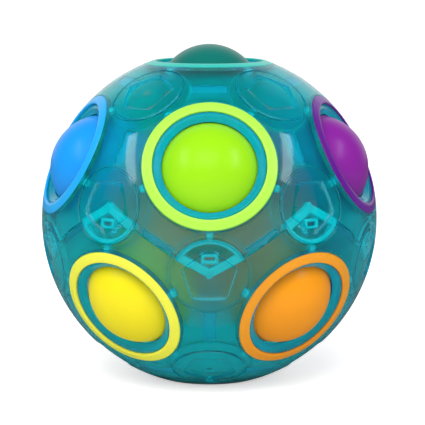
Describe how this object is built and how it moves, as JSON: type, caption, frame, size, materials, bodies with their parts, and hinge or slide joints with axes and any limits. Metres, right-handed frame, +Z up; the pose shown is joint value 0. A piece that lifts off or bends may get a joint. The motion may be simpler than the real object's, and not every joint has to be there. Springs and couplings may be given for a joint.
{
  "type": "ball shifting puzzle",
  "caption": "Hollow translucent puzzle sphere with round ports in coloured rings; coloured balls press in against a soft core and shift under the shell into the empty port.",
  "frame": {"origin": "on the surface that the sphere stands on, straight below the sphere's centre", "axes": "+Z up through the top port, -Y towards the lime port in front, +X to the right of someone facing the lime port"},
  "size_m": [0.07, 0.07, 0.0694],
  "materials": {
    "translucent_teal": "smooth translucent moulding, clear surface over a slightly cloudy body",
    "soft_core": "matt soft moulding",
    "turquoise_ring_plastic": "glossy opaque moulding",
    "lime_ring_plastic": "glossy opaque moulding",
    "purple_ring_plastic": "glossy opaque moulding",
    "pink_ring_plastic": "glossy opaque moulding",
    "green_ring_plastic": "glossy opaque moulding",
    "blue_ring_plastic": "glossy opaque moulding",
    "orange_ring_plastic": "glossy opaque moulding",
    "navy_ring_plastic": "glossy opaque moulding",
    "red_ring_plastic": "glossy opaque moulding",
    "white_ring_plastic": "glossy opaque moulding",
    "yellow_ring_plastic": "glossy opaque moulding",
    "grey_ring_plastic": "glossy opaque moulding",
    "turquoise_ball_plastic": "satin opaque moulding",
    "lime_ball_plastic": "satin opaque moulding",
    "purple_ball_plastic": "satin opaque moulding",
    "pink_ball_plastic": "satin opaque moulding",
    "green_ball_plastic": "satin opaque moulding",
    "blue_ball_plastic": "satin opaque moulding",
    "orange_ball_plastic": "satin opaque moulding",
    "navy_ball_plastic": "satin opaque moulding",
    "red_ball_plastic": "satin opaque moulding",
    "white_ball_plastic": "satin opaque moulding",
    "yellow_ball_plastic": "satin opaque moulding"
  },
  "bodies": {
    "shell": {"upper_shell": "translucent_teal", "lower_shell": "translucent_teal", "inner_core": "soft_core", "turquoise_ring": "turquoise_ring_plastic", "lime_ring": "lime_ring_plastic", "purple_ring": "purple_ring_plastic", "pink_ring": "pink_ring_plastic", "green_ring": "green_ring_plastic", "blue_ring": "blue_ring_plastic", "orange_ring": "orange_ring_plastic", "navy_ring": "navy_ring_plastic", "red_ring": "red_ring_plastic", "white_ring": "white_ring_plastic", "yellow_ring": "yellow_ring_plastic", "grey_ring": "grey_ring_plastic"},
    "turquoise_ball": {"turquoise_ball": "turquoise_ball_plastic"},
    "lime_ball": {"lime_ball": "lime_ball_plastic"},
    "purple_ball": {"purple_ball": "purple_ball_plastic"},
    "pink_ball": {"pink_ball": "pink_ball_plastic"},
    "green_ball": {"green_ball": "green_ball_plastic"},
    "blue_ball": {"blue_ball": "blue_ball_plastic"},
    "orange_ball": {"orange_ball": "orange_ball_plastic"},
    "navy_ball": {"navy_ball": "navy_ball_plastic"},
    "red_ball": {"red_ball": "red_ball_plastic"},
    "white_ball": {"white_ball": "white_ball_plastic"},
    "yellow_ball": {"yellow_ball": "yellow_ball_plastic"}
  },
  "joints": [
    {"name": "turquoise_ball_press", "type": "slide", "parent": "shell", "child": "turquoise_ball", "axis": [0, 0, -1], "range_m": [0, 0.0045], "stiffness_N_per_m": 600, "springref_m": -0.002, "deforming": ["inner_core"]},
    {"name": "lime_ball_press", "type": "slide", "parent": "shell", "child": "lime_ball", "axis": [0, 0.8944, -0.4472], "range_m": [0, 0.0045], "stiffness_N_per_m": 600, "springref_m": -0.002, "deforming": ["inner_core"]},
    {"name": "purple_ball_press", "type": "slide", "parent": "shell", "child": "purple_ball", "axis": [-0.8507, 0.2764, -0.4472], "range_m": [0, 0.0045], "stiffness_N_per_m": 600, "springref_m": -0.002, "deforming": ["inner_core"]},
    {"name": "pink_ball_press", "type": "slide", "parent": "shell", "child": "pink_ball", "axis": [-0.5257, -0.7236, -0.4472], "range_m": [0, 0.0045], "stiffness_N_per_m": 600, "springref_m": -0.002, "deforming": ["inner_core"]},
    {"name": "green_ball_press", "type": "slide", "parent": "shell", "child": "green_ball", "axis": [0.5257, -0.7236, -0.4472], "range_m": [0, 0.0045], "stiffness_N_per_m": 600, "springref_m": -0.002, "deforming": ["inner_core"]},
    {"name": "blue_ball_press", "type": "slide", "parent": "shell", "child": "blue_ball", "axis": [0.8507, 0.2764, -0.4472], "range_m": [0, 0.0045], "stiffness_N_per_m": 600, "springref_m": -0.002, "deforming": ["inner_core"]},
    {"name": "orange_ball_press", "type": "slide", "parent": "shell", "child": "orange_ball", "axis": [-0.5257, 0.7236, 0.4472], "range_m": [0, 0.0045], "stiffness_N_per_m": 600, "springref_m": -0.002, "deforming": ["inner_core"]},
    {"name": "navy_ball_press", "type": "slide", "parent": "shell", "child": "navy_ball", "axis": [-0.8507, -0.2764, 0.4472], "range_m": [0, 0.0045], "stiffness_N_per_m": 600, "springref_m": -0.002, "deforming": ["inner_core"]},
    {"name": "red_ball_press", "type": "slide", "parent": "shell", "child": "red_ball", "axis": [0, -0.8944, 0.4472], "range_m": [0, 0.0045], "stiffness_N_per_m": 600, "springref_m": -0.002, "deforming": ["inner_core"]},
    {"name": "white_ball_press", "type": "slide", "parent": "shell", "child": "white_ball", "axis": [0.8507, -0.2764, 0.4472], "range_m": [0, 0.0045], "stiffness_N_per_m": 600, "springref_m": -0.002, "deforming": ["inner_core"]},
    {"name": "yellow_ball_shift", "type": "hinge", "parent": "shell", "child": "yellow_ball", "pos_m": [-0.01388, -0.0191, -0.00518], "axis": [-0.809, 0.5878, 0], "range_deg": [0, 60], "deforming": ["inner_core"]}
  ]
}
